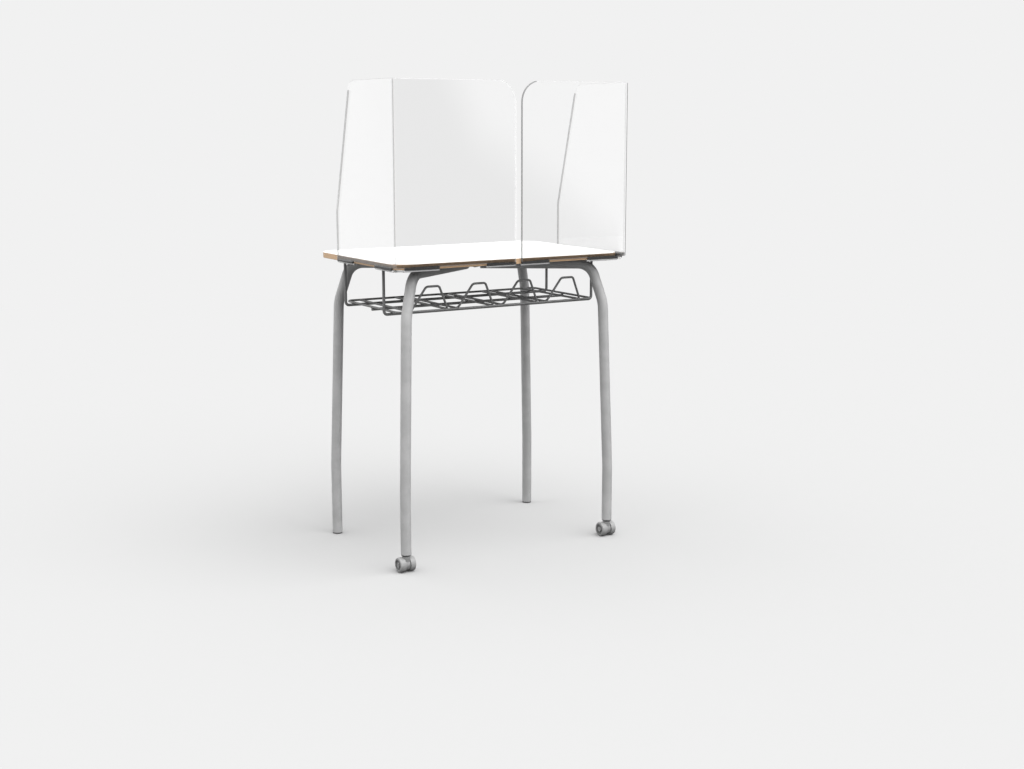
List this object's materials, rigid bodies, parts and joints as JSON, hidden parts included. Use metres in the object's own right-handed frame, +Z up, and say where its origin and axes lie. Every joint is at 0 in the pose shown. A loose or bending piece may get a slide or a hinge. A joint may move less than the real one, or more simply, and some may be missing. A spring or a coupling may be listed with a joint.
{
  "type": "study carrel",
  "caption": "Standing study carrel: white laminated plywood top on bent tube legs, clear L-shaped privacy screens, a wire book basket beneath and casters on the back legs.",
  "frame": {"origin": "on the floor, midway between the outer faces of the two side wings and midway between the top's front edge and the back panels' outer face", "axes": "+Z up, -Y towards the reader at the open front, +Y towards the back panels, +X to the reader's right"},
  "size_m": [0.896, 0.612, 1.59],
  "materials": {
    "white_laminate": "satin",
    "plywood": "clear sealed, bare edge plies",
    "backer": "matte",
    "clear_sheet": "clear, polished edges",
    "bare_steel": "zinc plated",
    "grey_paint": "light grey powder coat",
    "wire_coating": "dark grey powder coat",
    "dark_plastic": "moulded",
    "caster_plastic": "moulded",
    "wheel_plastic": "moulded, slightly worn tread",
    "cap_steel": "satin"
  },
  "bodies": {
    "carrel": {"top_laminate": "white_laminate", "top_core": "plywood", "top_backer": "backer", "screen_left": "clear_sheet", "screen_right": "clear_sheet", "screen_screws": "bare_steel", "leg_back_left": "grey_paint", "leg_back_right": "grey_paint", "leg_front_left": "grey_paint", "leg_front_right": "grey_paint", "leg_plate_back_left": "grey_paint", "leg_plate_back_right": "grey_paint", "leg_plate_front_left": "grey_paint", "leg_plate_front_right": "grey_paint", "centre_plate": "grey_paint", "leg_screws": "bare_steel", "glide_left": "dark_plastic", "glide_right": "dark_plastic", "caster_socket_left": "dark_plastic", "caster_socket_right": "dark_plastic", "caster_stem_left": "bare_steel", "caster_stem_right": "bare_steel", "basket_back_frame": "wire_coating", "basket_front_frame": "wire_coating", "basket_middle_rail": "wire_coating", "basket_rim": "wire_coating", "basket_stop_1": "wire_coating", "basket_stop_2": "wire_coating", "basket_stop_3": "wire_coating", "basket_stop_4": "wire_coating", "basket_tab_back_left": "wire_coating", "basket_tab_back_right": "wire_coating", "basket_tab_front_left": "wire_coating", "basket_tab_front_right": "wire_coating", "basket_screws": "bare_steel"},
    "left_caster": {"caster_body_left": "caster_plastic", "caster_axle_left": "bare_steel"},
    "right_caster": {"caster_body_right": "caster_plastic", "caster_axle_right": "bare_steel"},
    "left_outer_wheel": {"wheel_left_outer": "wheel_plastic", "wheel_cap_left_outer": "cap_steel"},
    "left_inner_wheel": {"wheel_left_inner": "wheel_plastic", "wheel_cap_left_inner": "cap_steel"},
    "right_outer_wheel": {"wheel_right_outer": "wheel_plastic", "wheel_cap_right_outer": "cap_steel"},
    "right_inner_wheel": {"wheel_right_inner": "wheel_plastic", "wheel_cap_right_inner": "cap_steel"}
  },
  "joints": [
    {"name": "left_caster_swivel", "type": "hinge", "parent": "carrel", "child": "left_caster", "pos_m": [-0.4035, 0.27, 0.045], "axis": [0, 0, 1], "continuous": true},
    {"name": "left_outer_wheel_roll", "type": "hinge", "parent": "left_caster", "child": "left_outer_wheel", "pos_m": [-0.4035, 0.265, 0.025], "axis": [1, 0, 0], "continuous": true},
    {"name": "left_inner_wheel_roll", "type": "hinge", "parent": "left_caster", "child": "left_inner_wheel", "pos_m": [-0.4035, 0.265, 0.025], "axis": [1, 0, 0], "continuous": true},
    {"name": "right_caster_swivel", "type": "hinge", "parent": "carrel", "child": "right_caster", "pos_m": [0.4035, 0.27, 0.045], "axis": [0, 0, 1], "continuous": true},
    {"name": "right_outer_wheel_roll", "type": "hinge", "parent": "right_caster", "child": "right_outer_wheel", "pos_m": [0.4035, 0.265, 0.025], "axis": [1, 0, 0], "continuous": true},
    {"name": "right_inner_wheel_roll", "type": "hinge", "parent": "right_caster", "child": "right_inner_wheel", "pos_m": [0.4035, 0.265, 0.025], "axis": [1, 0, 0], "continuous": true}
  ]
}
